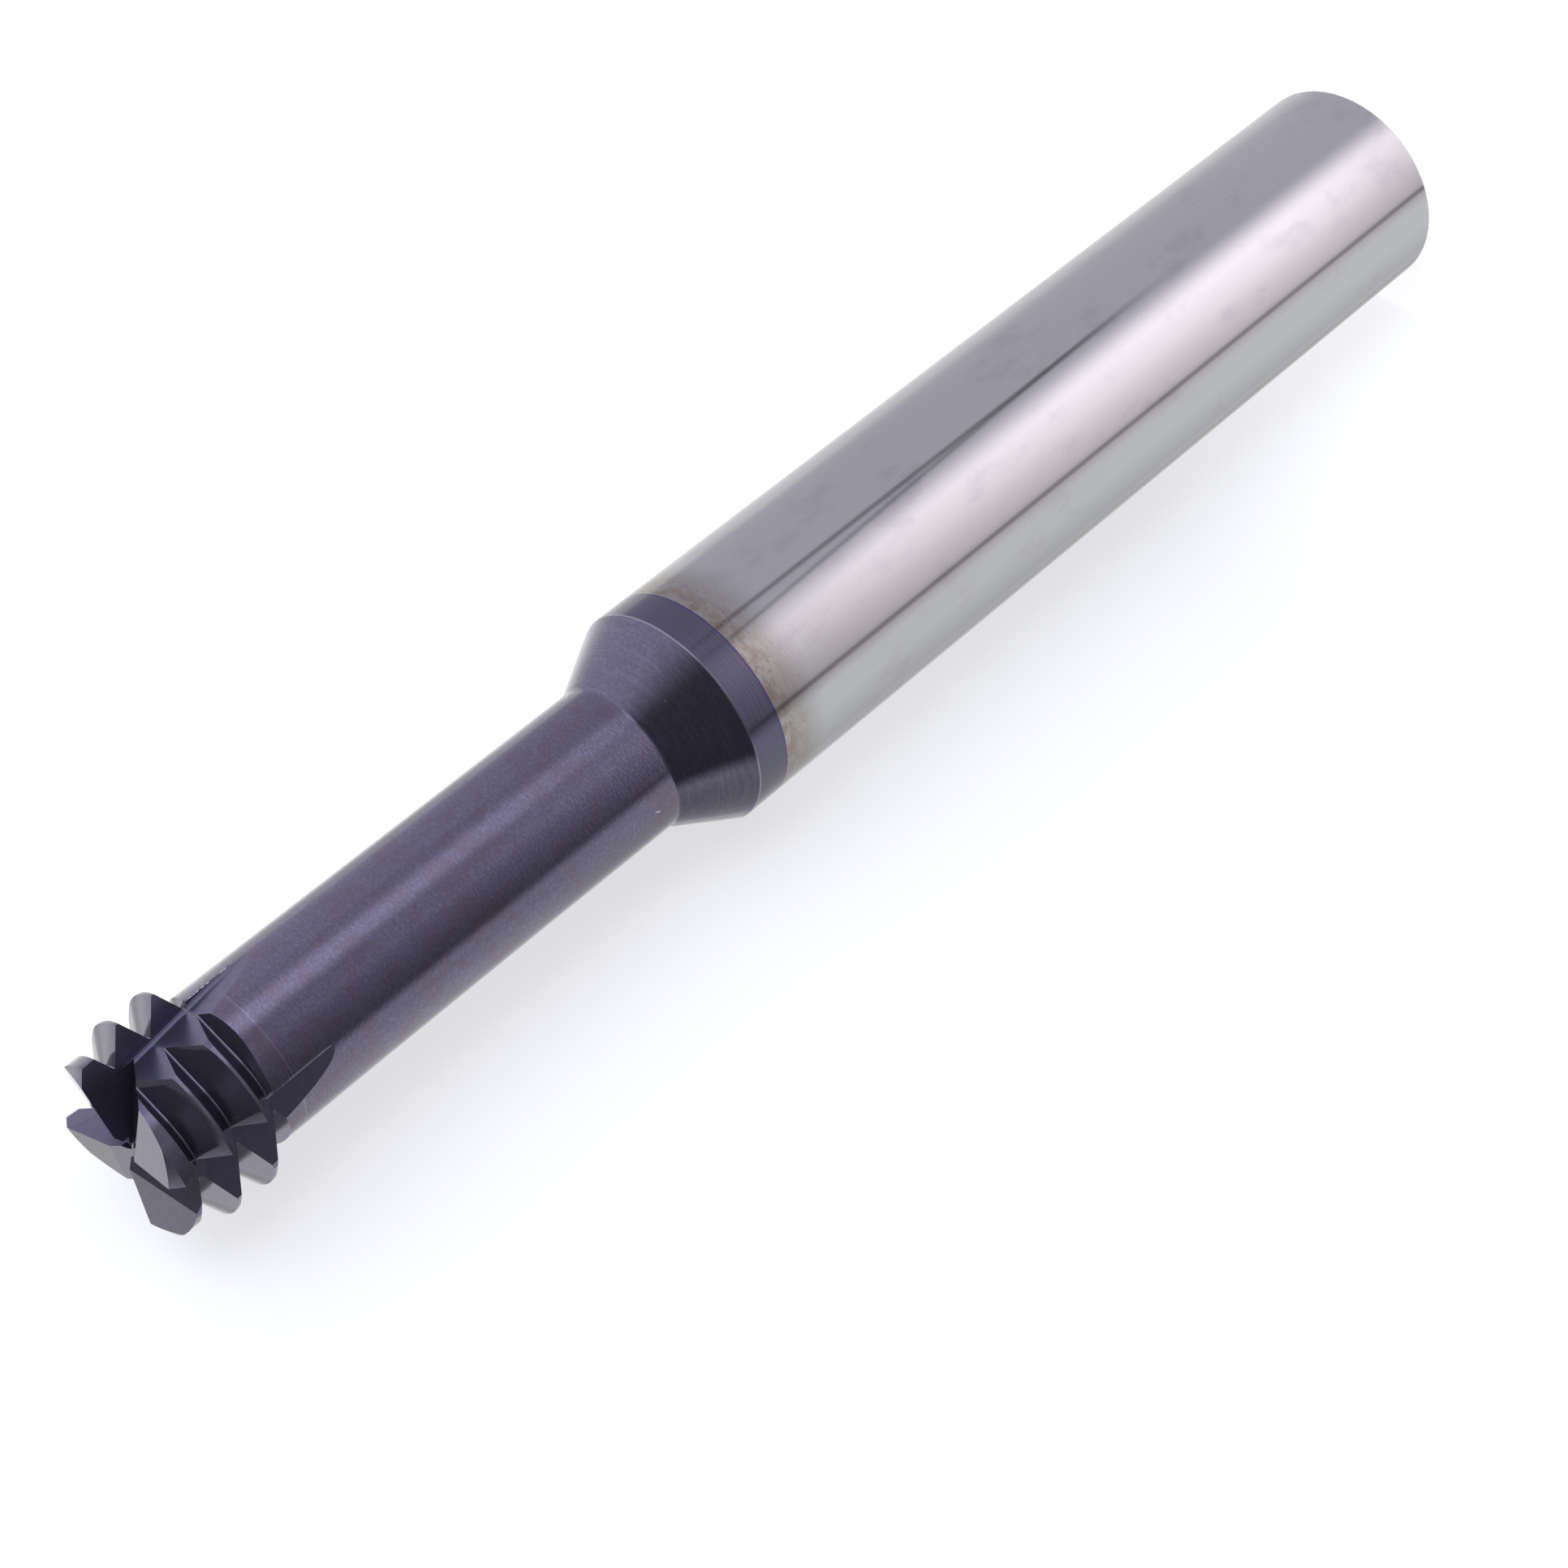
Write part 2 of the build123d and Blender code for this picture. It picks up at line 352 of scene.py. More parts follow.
@dataclass(frozen=True)
class HardCoating:
    """Dark slate-violet hard coating on turned carbide: a thin film that keeps the grinding marks below it.

    A narrow blue-violet line marks its start on the shank, where the film thins out. The neck is a little ruddy
    in places and carries painted glints, lighter violet specks painted into its colour as highlights of its
    marks;
    the taper shows its turned lines, and bare and burnt chips follow one flute's edge.
    """

    name: str = "violet_hard_coating"
    colour: str = "615E6F"
    light: str = "6C697C"
    ruddy: str = "655E6C"
    band: str = "595869"
    thin_edge: str = "50487A"
    # Partly painted highlight: the lighter line round the shoulder corner stands in for the light its rounded
    # edge catches, and partly shows the thinner coating there.
    corner: str = "8B8996"
    # Painted highlight: the colour of the glint specks painted onto the neck.
    painted_glint_tint: str = "8380A0"
    turned_line: str = "837F90"
    bare: str = "C4C1CC"
    burnt: str = "2E2B36"
    roughness: float = 0.1
    metallic: float = 0.9
    neck_from_z_mm: float = TAPER_FOOT_Z_MM
    corner_z_mm: float = SHOULDER_Z_MM
    wheel_line_z_mm: float = 68.85
    blend_mm: float = 0.1
    # Turned rings and grinding marks are finer in truth, and are drawn as coarse as they need to show.
    rings: Grain = Grain(2.4, 0.1)
    marks: Grain = Grain(0.2, 0.1, 2.0)
    ring_depth_share: float = 0.5
    mark_depth_mm: float = 0.004
    light_span: Span = (0.35, 0.7)
    band_share: float = 0.9
    blotches: Patches = Patches(Grain(1.3, 1.3), (0.45, 0.65))
    # Painted highlight: lighter violet specks painted into the neck's colour as glints of its grinding marks.
    painted_glint_specks: Patches = Patches(Grain(0.12, 0.12, 1.0), (0.45, 0.7), most=0.22)
    turned_span: Span = (0.5, 0.66)
    turned_share: float = 0.28
    line_width_mm: float = 0.045
    wheel_line_share: float = 0.4
    thin_edge_mm: float = 0.1
    chips: Grain = Grain(0.16, 0.16)
    bare_span: Span = (0.52, 0.56)
    burnt_span: Span = (0.46, 0.42)
    chipped_edge: FineMark = FineMark((3.236, -0.963, 67.6), (3.206, -1.053, 69.65), 0.13)
    dust: tuple[FineMark, ...] = (
        FineMark((1.62, -3.78, 47.45), (1.47, -3.73, 47.8)),
        FineMark((-2.1, -2.642, 50.05), (-2.03, -2.7, 50.25), 0.035),
        FineMark((3.373, -0.1, 49.45), (3.36, -0.3, 49.6)),
    )

    def build(self, coating_edge_z_mm: float) -> bpy.types.Material:
        """Builds the material.

        Args:
            coating_edge_z_mm: Height where the coating starts.

        Returns:
            The node material.
        """
        material, tree = new_material(self.name)
        place = add_node(tree, "TexCoord").outputs["Object"]
        height = add_node(tree, "SeparateXYZ", None, place).outputs["Z"]
        neck, corner, blend = self.neck_from_z_mm * MM, self.corner_z_mm * MM, self.blend_mm * MM
        on_neck = add_node(tree, "MapRange", SOFT_STEP, height, neck - blend, neck + blend)
        rings, marks = self.rings.build(tree, place), self.marks.build(tree, place)
        faint = add_node(tree, "Math", PRODUCT, rings, self.ring_depth_share)
        relief = add_node(tree, "Mix", NUMBER_MIX, on_neck, faint, marks)
        bump = add_node(tree, "Bump", None, Height=relief, Strength=1.0, Distance=self.mark_depth_mm * MM)

        layers = [(add_node(tree, "MapRange", SOFT_STEP, marks, *self.light_span), self.light)]
        band = add_node(tree, "MapRange", SOFT_STEP, height, corner, corner - blend, 0.0, self.band_share)
        layers.append((band, self.band))
        # The ruddy blotches are the coating's own tone; the glint specks are painted highlights.
        for patches, tint in ((self.blotches, self.ruddy), (self.painted_glint_specks, self.painted_glint_tint)):
            layers.append((add_node(tree, "Math", PRODUCT, patches.mask(tree, place), on_neck), tint))
        above_corner = add_node(tree, "MapRange", SOFT_STEP, height, corner, corner + blend)
        below_neck = add_node(tree, "MapRange", SOFT_STEP, on_neck, 1.0, 0.0, 0.0, self.turned_share)
        on_taper = add_node(tree, "Math", PRODUCT, above_corner, below_neck)
        lines = add_node(tree, "MapRange", SOFT_STEP, rings, *self.turned_span)
        layers.append((add_node(tree, "Math", PRODUCT, on_taper, lines), self.turned_line))
        # Partly painted highlight: a lighter line painted all round the shoulder corner, partly the thinner
        # coating there; the same colour, weaker, marks the wheel line higher up.
        for at_mm, share in ((self.corner_z_mm, 1.0), (self.wheel_line_z_mm, self.wheel_line_share)):
            layers.append((self.level_line(tree, height, at_mm, share), self.corner))
        chips, chipped = self.chips.build(tree, place), self.chipped_edge.mask(tree, place)
        for span, tint in ((self.bare_span, self.bare), (self.burnt_span, self.burnt)):
            flakes = add_node(tree, "MapRange", SOFT_STEP, chips, *span)
            layers.append((add_node(tree, "Math", PRODUCT, chipped, flakes), tint))
        layers += [(fibre.mask(tree, place), self.bare) for fibre in self.dust]
        edge, thin = coating_edge_z_mm * MM, self.thin_edge_mm * MM
        start = add_node(tree, "MapRange", SOFT_STEP, height, edge + thin, edge + thin / 2)
        layers.append((start, self.thin_edge))

        colour: Source = self.colour
        for share, tint in layers:
            colour = add_node(tree, "Mix", COLOUR_MIX, share, colour, tint)
        surface = add_node(
            tree,
            "BsdfPrincipled",
            Base_Color=colour,
            Metallic=self.metallic,
            Roughness=self.roughness,
            Normal=bump,
        )
        add_node(tree, "OutputMaterial", Surface=surface)
        return material

    def level_line(self, tree: Tree, height: Source, at_mm: float, share: float) -> Node:
        """Adds a thin line round the tool.

        Args:
            tree: The node tree.
            height: The height along the tool.
            at_mm: The line's height.
            share: How much the line covers.

        Returns:
            The node that gives the share on the line.
        """
        off = add_node(tree, "Math", MAGNITUDE, add_node(tree, "Math", DIFFERENCE, height, at_mm * MM))
        width = self.line_width_mm * MM
        return add_node(tree, "MapRange", SOFT_STEP, off, width, width / 2, 0.0, share)


@dataclass(frozen=True)
class GroundCoating:
    """The same coating over the ground flutes and teeth, where the wheel left a finer, crossed finish."""

    name: str = "violet_hard_coating_on_teeth"
    colour: str = "62606F"
    light: str = "6A6877"
    roughness: float = 0.11
    metallic: float = 0.9
    # The crossed marks too are finer in truth, and are drawn as coarse as they need to show.
    grain: Grain = Grain(0.12, 0.12)
    grain_depth_mm: float = 0.0012
    mottle: Patches = Patches(Grain(0.3, 0.3, 5.0, 0.7), (0.3, 0.7))
    fibre: str = "C4C1CC"
    dust: tuple[FineMark, ...] = (
        FineMark((-0.8, -3.22, 71.6), (-0.92, -3.5, 71.43), 0.025),
        FineMark((1.9, -2.8, 69.6), (2.02, -2.72, 69.6), 0.025),
    )

    def build(self) -> bpy.types.Material:
        """Builds the material.

        Returns:
            The node material.
        """
        material, tree = new_material(self.name)
        place = add_node(tree, "TexCoord").outputs["Object"]
        grain = self.grain.build(tree, place)
        bump = add_node(tree, "Bump", None, Height=grain, Strength=1.0, Distance=self.grain_depth_mm * MM)
        colour = add_node(tree, "Mix", COLOUR_MIX, self.mottle.mask(tree, place), self.colour, self.light)
        for fibre in self.dust:
            colour = add_node(tree, "Mix", COLOUR_MIX, fibre.mask(tree, place), colour, self.fibre)
        surface = add_node(
            tree,
            "BsdfPrincipled",
            Base_Color=colour,
            Metallic=self.metallic,
            Roughness=self.roughness,
            Normal=bump,
        )
        add_node(tree, "OutputMaterial", Surface=surface)
        return material


class Form(Enum):
    """The kinds of surface that the tool is ground with."""

    FLAT = 0
    TURNED = 1
    RELIEVED = 2
    FLUTE_ROUND = 3


@dataclass(frozen=True)
class GroundShape:
    """The true curves of the ground surfaces, which the coarse facets of the solid stand for."""

    shoulder_z_mm: float = SHOULDER_Z_MM
    taper_foot_z_mm: float = TAPER_FOOT_Z_MM
    taper_angle: float = 28.44
    shoulder_reach_mm: float = 0.037
    foot_reach_mm: float = 0.101
    neck_radius_mm: float = 3.375
    neck_fit_mm: float = 0.01
    flutes_from_z_mm: float = 65.5
    first_blade: float = 248.0
    blade_step: float = 90.0
    sector_lead: float = 7.0
    relief_centre_mm: tuple[float, float] = (0.8, -0.2)
    straight_heel_angle: float = 49.0
    flank_angle: float = 30.0
    flute_corner_mm: tuple[float, float] = (2.935, 0.07)
    flute_reference_z_mm: float = 71.5
    flute_rise_angle: float = 5.2
    flute_skew_angle: float = 4.5
    rake_wall_angle: float = 2.0
    flute_opening_angle: float = 88.3
    flute_round_mm: float = 0.2
    round_fit_mm: float = 0.05
    facet_half_turn: float = 9.0
    round_half_turn: float = 32.0
    end_face_tilt: float = 0.9

    def slope_at(self, z_mm: float) -> float:
        """Gives the lean of the turned outline at a height.

        Args:
            z_mm: The height in millimetres.

        Returns:
            The lean in degrees from square to the axis.
        """
        rounds = ((self.shoulder_z_mm, self.shoulder_reach_mm), (self.taper_foot_z_mm, self.foot_reach_mm))
        into, out = [min(max((z_mm - middle) / reach / 2 + 0.5, 0.0), 1.0) for middle, reach in rounds]
        return self.taper_angle * (into - out)

    def turned(self, point: Vector) -> Vector:
        """Gives the direction of the turned surface at a point.

        Args:
            point: The point on the surface.

        Returns:
            The direction.
        """
        lean = radians(self.slope_at(point.z / MM))
        ray = Vector((point.x, point.y, 0)).normalized()
        return ray * cos(lean) + Vector((0, 0, sin(lean)))

    def blade_turn(self, point: Vector) -> float:
        """Finds the blade whose sector a point is in.

        Args:
            point: The point on the surface.

        Returns:
            The blade's angle in radians.
        """
        angle = degrees(atan2(point.y, point.x))
        index = ((angle - self.first_blade + self.sector_lead) % 360) // self.blade_step
        return radians(self.first_blade + index * self.blade_step)

    def relief_ray(self, point: Vector, turn: float) -> Vector:
        """Gives the outward ray from a blade's relief axis, held straight past the heel.

        Args:
            point: The point on the surface.
            turn: The blade's angle.

        Returns:
            A unit vector in the plan.
        """
        spin = Matrix.Rotation(turn, 3, "Z")
        local = spin.inverted() @ point
        angle = atan2(local.y / MM - self.relief_centre_mm[1], local.x / MM - self.relief_centre_mm[0])
        angle = min(angle, radians(self.straight_heel_angle))
        return spin @ Vector((cos(angle), sin(angle), 0))

    def relieved(self, point: Vector, turn: float, facet: Vector) -> Vector:
        """Gives the direction of a crest, root or flank, whichever the facet is nearest to.

        Args:
            point: The point on the surface.
            turn: The blade's angle.
            facet: The facet's direction.

        Returns:
            The direction of the true surface.
        """
        ray = self.relief_ray(point, turn)
        lean = radians(self.flank_angle)
        ways = [ray, ray * sin(lean) + Vector((0, 0, cos(lean))), ray * sin(lean) - Vector((0, 0, cos(lean)))]
        return max(ways, key=lambda way: way.dot(facet))

    def flute_round(self, point: Vector, turn: float) -> tuple[Vector, float]:
        """Gives the direction of a flute's rounded corner at a point.

        Args:
            point: The point on the surface.
            turn: The angle of the blade behind the flute.

        Returns:
            The direction, and how far the point is from the round in millimetres.
        """
        spin = Matrix.Rotation(turn, 3, "Z")
        local = spin.inverted() @ (point / MM)
        run = Vector((-tan(radians(self.flute_rise_angle)), -tan(radians(self.flute_skew_angle))))
        half = radians(self.flute_opening_angle / 2)
        middle = radians(self.rake_wall_angle) - half
        corner = Vector(self.flute_corner_mm) + run * (local.z - self.flute_reference_z_mm)
        centre = corner + Vector((cos(middle), sin(middle))) * (self.flute_round_mm / sin(half))
        inward = centre - Vector((local.x, local.y))
        off = abs(inward.length - self.flute_round_mm)
        inward.normalize()
        return spin @ Vector((inward.x, inward.y, -inward.dot(run))).normalized(), off

    def form_of(self, centre: Vector, facet: Vector, corners: list[Vector]) -> tuple[Form, float]:
        """Finds which ground surface a facet belongs to.

        Args:
            centre: The facet's centre.
            facet: Its direction.
            corners: Its corners.

        Returns:
            The kind of surface, and the angle of its blade.
        """
        near = cos(radians(self.facet_half_turn))
        round_near = cos(radians(self.round_half_turn))
        turn = self.blade_turn(centre)
        if abs(facet.z) < self.end_face_tilt and centre.z < self.flutes_from_z_mm * MM:
            if self.turned(centre).dot(facet) > round_near:
                return Form.TURNED, turn
        radii = [Vector((corner.x, corner.y)).length / MM for corner in corners]
        on_neck = all(abs(radius - self.neck_radius_mm) < self.neck_fit_mm for radius in radii)
        if on_neck and self.turned(centre).dot(facet) > near:
            return Form.TURNED, turn
        if self.relieved(centre, turn, facet).dot(facet) > near:
            return Form.RELIEVED, turn
        for blade in (turn, turn + radians(self.blade_step)):
            way, off = self.flute_round(centre, blade)
            if off < self.round_fit_mm and way.dot(facet) > round_near:
                return Form.FLUTE_ROUND, blade
        return Form.FLAT, turn

    def shade(self, mesh: bpy.types.Mesh) -> list[Form]:
        """Gives every corner of a mesh the direction of its true surface.

        Args:
            mesh: The mesh, which gets custom normals.

        Returns:
            The kind of surface of each facet.
        """
        forms = []
        ways: list[Vector] = [Vector()] * len(mesh.loops)
        for polygon in mesh.polygons:
            facet = polygon.normal
            points = [mesh.vertices[v].co for v in polygon.vertices]
            form, turn = self.form_of(polygon.center, facet, points)
            forms.append(form)
            for loop, point in zip(polygon.loop_indices, points):
                if form is Form.TURNED:
                    ways[loop] = self.turned(point)
                elif form is Form.RELIEVED:
                    ways[loop] = self.relieved(point, turn, facet)
                elif form is Form.FLUTE_ROUND:
                    ways[loop] = self.flute_round(point, turn)[0]
                else:
                    ways[loop] = facet.copy()
        mesh.normals_split_custom_set(ways)
        return forms


@dataclass
class CutterBody:
    """The whole one-piece tool: shank, shoulder, neck and toothed head."""

    node: str = "thread_mill"
    coating_edge_z_mm: float = 44.4
    merge_mm: float = 0.0005
    cut_snap_mm: float = 0.00005
    flat_angle: float = 0.4
    flute_wall_tilt: float = 0.2
    ground_shape: GroundShape = field(default_factory=GroundShape)
    flute_finish: GroundCoating = GroundCoating(
        "violet_hard_coating_in_flutes", colour="605F73", light="67667A", roughness=0.3
    )

    def build(self, solid: bpy.types.Object) -> bpy.types.Object:
        """Makes the smooth-shaded piece from a merged copy of the solid, cut at the edge of the coating.

        Args:
            solid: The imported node, which is only read.

        Returns:
            The piece that is shown.
        """
        shape = bmesh.new()
        shape.from_mesh(solid.data)
        bmesh.ops.remove_doubles(shape, verts=shape.verts, dist=self.merge_mm * MM)
        bmesh.ops.dissolve_limit(
            shape, angle_limit=radians(self.flat_angle), verts=shape.verts, edges=shape.edges, delimit=set()
        )
        bmesh.ops.bisect_plane(
            shape,
            geom=shape.verts[:] + shape.edges[:] + shape.faces[:],
            dist=self.cut_snap_mm * MM,
            plane_co=(0, 0, self.coating_edge_z_mm * MM),
            plane_no=(0, 0, 1),
        )
        for face in shape.faces:
            face.smooth = True
        piece = new_object("carbide_thread_mill", shape)
        forms = self.ground_shape.shade(piece.data)
        for polygon, form in zip(piece.data.polygons, forms):
            polygon.material_index = self.zone_of(polygon, form).value
        LOG.info("facets by surface: %s", {form.name: forms.count(form) for form in Form})
        return piece

    def zone_of(self, polygon: bpy.types.MeshPolygon, form: Form) -> Zone:
        """Gives the zone that a facet belongs to.

        Args:
            polygon: The facet.
            form: Its kind of surface.

        Returns:
            The zone.
        """
        if polygon.center.z < self.coating_edge_z_mm * MM:
            return Zone.SHANK
        if form is Form.TURNED:
            return Zone.COATED_TURNED
        if form is not Form.RELIEVED and abs(polygon.normal.z) < self.flute_wall_tilt:
            return Zone.FLUTE
        return Zone.COATED_HEAD

    def dress(self, piece: bpy.types.Object) -> None:
        """Puts a finish on each zone.

        Args:
            piece: The piece that is shown.
        """
        finishes = {
            Zone.SHANK: PolishedCarbide().build(self.coating_edge_z_mm),
            Zone.COATED_TURNED: HardCoating().build(self.coating_edge_z_mm),
            Zone.COATED_HEAD: GroundCoating().build(),
            Zone.FLUTE: self.flute_finish.build(),
        }
        for zone in Zone:
            piece.data.materials.append(finishes[zone])


def curve(tree: Tree, value: Source, levels: Levels) -> Node:
    """Maps a value through straight runs between levels.

    Args:
        tree: The node tree.
        value: What is looked up.
        levels: Pairs of value and level, in order.

    Returns:
        The node that gives the level.
    """
    low, high = levels[0][0], levels[-1][0]
    offset = max(0.0, -min(level for _, level in levels))
    top = max(level for _, level in levels) + offset
    ramp = add_node(tree, "ValToRGB", None, add_node(tree, "MapRange", None, value, low, high))
    stops = ramp.color_ramp.elements
    while len(stops) < len(levels):
        stops.new(1.0)
    for stop, (at, level) in zip(stops, levels):
        grey = (level + offset) / top
        stop.position = (at - low) / (high - low)
        stop.color = (grey, grey, grey, 1.0)
    return add_node(tree, "Math", DIFFERENCE, add_node(tree, "Math", PRODUCT, ramp, top), offset)


@dataclass(frozen=True)
class Seam:
    """A thin dark joint between two panels of the tent, in degrees of turn round the tool.

    Its slant is how much the joint's turn grows from lean 0 to lean 1.
    """

    turn: float
    reach: float
    depth: float
    slant: float = 0.0
    core_share: float = 0.2

    def kept_light(self, tree: Tree, turn: Source, lean: Source, shown: Source) -> Node:
        """Adds the joint.

        Args:
            tree: The node tree.
            turn: The turn round the tool.
            lean: The lean along it.
            shown: Where along the tool the joint shows, from 0 to 1.

        Returns:
            The node that gives the share of the light that is left.
        """
        middle = add_node(tree, "Math", PRODUCT_AND_SUM, lean, self.slant, self.turn)
        off = add_node(tree, "Math", MAGNITUDE, add_node(tree, "Math", DIFFERENCE, turn, middle))
        near = add_node(tree, "MapRange", SOFT_STEP, off, self.reach, self.reach * self.core_share)
        dark = add_node(tree, "Math", PRODUCT, add_node(tree, "Math", PRODUCT, near, shown), self.depth)
        return add_node(tree, "Math", DIFFERENCE, 1.0, dark)


@dataclass(frozen=True)
class SoftTent:
    """The room round the tool as its gloss sees it.

    A direction is told by its turn round the tool, in degrees from straight up off the table, and by its lean,
    from -1 at the shank end to 1 at the cutting end. Levels are pairs of a lean or a turn and what belongs to it:
    an amount of light, or a turn or reach in degrees. A span gives where a soft step along the lean or the turn
    starts and ends. The second bounce is what one face of the tool shows of the tent in another face's gloss.
    """

    table_normal: Point = (0.7071, -0.7071, 0.0)
    across: Point = (-0.7071, -0.7071, 0.0)
    lit_wall: Levels = (
        (-0.7, 0.86),
        (-0.6, 0.82),
        (-0.55, 0.8),
        (-0.515, 0.81),
        (-0.485, 0.76),
        (-0.455, 0.81),
        (-0.4, 0.93),
        (-0.35, 0.97),
        (-0.3, 1.04),
        (0.15, 1.22),
        (0.4, 1.1),
    )
    rear_panel: Levels = (
        (-0.75, 1.4),
        (-0.7, 1.75),
        (-0.67, 2.2),
        (-0.6, 2.07),
        (-0.575, 1.95),
        (-0.545, 1.84),
        (-0.515, 1.62),
        (-0.5, 1.4),
        (-0.485, 1.0),
        (-0.45, 0.82),
        (-0.33, 0.52),
        (-0.14, 0.3),
        (0.2, 0.0),
    )
    panel_fade: Levels = (
        (28.0, 0.97),
        (50.0, 0.79),
        (62.0, 0.65),
        (72.0, 0.56),
        (82.0, 0.48),
        (90.0, 0.36),
    )
    neck_fade: Levels = (
        (28.0, 1.0),
        (38.0, 0.97),
        (44.0, 0.76),
        (52.0, 0.58),
        (60.0, 0.47),
        (76.0, 0.25),
        (90.0, 0.14),
    )
    border_turn: Levels = (
        (-0.7, 7.0),
        (-0.64, 9.0),
        (-0.56, 12.5),
        (-0.51, 15.0),
        (-0.48, 14.0),
        (-0.46, 8.0),
        (-0.3, 5.0),
        (0.0, -8.0),
        (0.4, -7.0),
    )
    border_reach: Levels = (
        (-0.7, 16.0),
        (-0.56, 17.0),
        (-0.51, 18.0),
        (-0.48, 15.0),
        (-0.46, 11.0),
        (-0.3, 12.0),
        (0.0, 22.0),
        (0.4, 30.0),
    )
    strip: Levels = (
        (-0.48, 0.0),
        (-0.45, 0.6),
        (-0.36, 0.64),
        (-0.33, 0.66),
        (-0.3, 0.9),
        (-0.1, 0.4),
        (0.1, 0.0),
    )
    strip_turns: tuple[Span, Span] = ((-23.0, -9.0), (16.0, 0.0))
    table_left: Levels = (
        (-0.6, 0.83),
        (-0.5, 0.86),
        (-0.45, 1.05),
        (-0.24, 1.22),
        (0.06, 0.68),
        (0.14, 0.68),
        (0.3, 1.2),
        (0.4, 1.28),
        (0.7, 1.0),
    )
    table_right: Levels = (
        (-0.66, 1.03),
        (-0.47, 0.97),
        (-0.33, 1.18),
        (-0.06, 0.62),
        (0.2, 0.6),
        (0.5, 1.0),
    )
    under_tool: Levels = (
        (88.0, 1.0),
        (100.0, 1.07),
        (128.0, 1.05),
        (150.0, 0.87),
        (165.0, 0.72),
        (178.0, 0.68),
    )
    under_neck: Levels = (
        (96.0, 0.98),
        (108.0, 0.81),
        (116.0, 0.82),
        (124.0, 0.95),
        (140.0, 1.03),
        (148.0, 1.05),
        (156.0, 1.03),
        (165.0, 0.91),
        (178.0, 0.8),
    )
    beside_tip: Levels = ((104.0, 1.2), (124.0, 1.14), (138.0, 0.97), (180.0, 1.0))
    room: Levels = ((-0.33, 0.14), (-0.18, 0.08), (0.8, 0.075))
    tip_room: float = 0.27
    table_start: Levels = ((-0.33, 0.0), (-0.2, 16.0))
    right_edge: Span = (89.0, 107.0)
    left_edge_turn: float = -94.0
    left_edge_reach: Levels = ((-0.68, 15.0), (-0.56, 9.0), (-0.48, 4.0), (-0.3, 4.0))
    table_middle: Span = (-20.0, 20.0)
    neck_window: tuple[Span, Span] = ((-0.44, -0.4), (-0.32, -0.335))
    shank_window: tuple[Span, Span] = ((-0.64, -0.6), (-0.48, -0.49))
    neck_to_shank: Span = (-0.44, -0.49)
    wall_to_rear: Span = (-0.484, -0.496)
    tip_to_neck: Span = (0.0, -0.3)
    head_to_tip: Span = (0.8, 0.95)
    upright_seam: Seam = Seam(-7.0, 3.8, 0.52)
    slanted_seam: Seam = Seam(83.0, 3.0, 0.5, slant=150.0)
    horizon_seam: Seam = Seam(91.0, 4.2, 0.52)
    neck_groove: Seam = Seam(-31.0, 10.0, 0.19)
    second_bounce: Span = (1.0, 2.0)
    second_bounce_lean: Span = (-0.5, -0.6)
    second_bounce_level: float = 0.62
    table_colour: str = "FFFFFF"
    wall_colour: str = "F3EFFF"
    rear_wall_colour: str = "F3EFFA"
    panel_colour: str = "FFF5F8"
    plain_level: float = 0.6

    def above_table(self, tree: Tree, turn: Source, lean: Source) -> tuple[Node, Node]:
        """Builds the wall, the strip, the panel, the dark room and the joints between them.

        Args:
            tree: The node tree.
            turn: The turn round the tool.
            lean: The lean along it.

        Returns:
            The nodes that give the light level, and the share that belongs to the panel's side.
        """
        to_shank = add_node(tree, "MapRange", SOFT_STEP, lean, *self.neck_to_shank)
        fades = [curve(tree, turn, levels) for levels in (self.neck_fade, self.panel_fade)]
        fade = add_node(tree, "Mix", NUMBER_MIX, to_shank, *fades)
        panel = add_node(tree, "Math", PRODUCT, curve(tree, lean, self.rear_panel), fade)
        right = add_node(tree, "Math", SUM, panel, curve(tree, lean, self.room))
        off = add_node(tree, "Math", DIFFERENCE, turn, curve(tree, lean, self.border_turn))
        off = add_node(tree, "Math", QUOTIENT, off, curve(tree, lean, self.border_reach))
        share = add_node(tree, "MapRange", SOFT_STEP, off, -1.0, 1.0)
        level = add_node(tree, "Mix", NUMBER_MIX, share, curve(tree, lean, self.lit_wall), right)
        lit = window(tree, turn, *self.strip_turns)
        lit = add_node(tree, "Math", PRODUCT, lit, curve(tree, lean, self.strip))
        level = add_node(tree, "Math", SUM, level, lit)

        on_shank = window(tree, lean, *self.shank_window)
        on_neck = window(tree, lean, *self.neck_window)
        seams = (
            (self.upright_seam, on_shank),
            (self.slanted_seam, on_shank),
            (self.horizon_seam, to_shank),
            (self.neck_groove, on_neck),
        )
        for seam, shown in seams:
            level = add_node(tree, "Math", PRODUCT, level, seam.kept_light(tree, turn, lean, shown))
        return level, share

    def table(self, tree: Tree, turn: Source, lean: Source) -> Node:
        """Builds the table's light, which is lower beside and under the tool.

        Args:
            tree: The node tree.
            turn: The turn round the tool.
            lean: The lean along it.

        Returns:
            The node that gives the light level.
        """
        to_right = add_node(tree, "MapRange", SOFT_STEP, turn, *self.table_middle)
        sides = [curve(tree, lean, levels) for levels in (self.table_left, self.table_right)]
        level = add_node(tree, "Mix", NUMBER_MIX, to_right, *sides)
        away = add_node(tree, "Math", MAGNITUDE, turn)
        under = [curve(tree, away, levels) for levels in (self.under_tool, self.under_neck)]
        below = add_node(tree, "Mix", NUMBER_MIX, window(tree, lean, *self.neck_window), *under)
        shaded = add_node(tree, "Math", PRODUCT, level, below)
        tip = add_node(tree, "Math", PRODUCT, level, curve(tree, away, self.beside_tip))
        to_neck = add_node(tree, "MapRange", SOFT_STEP, lean, *self.tip_to_neck)
        return add_node(tree, "Mix", NUMBER_MIX, to_neck, tip, shaded)

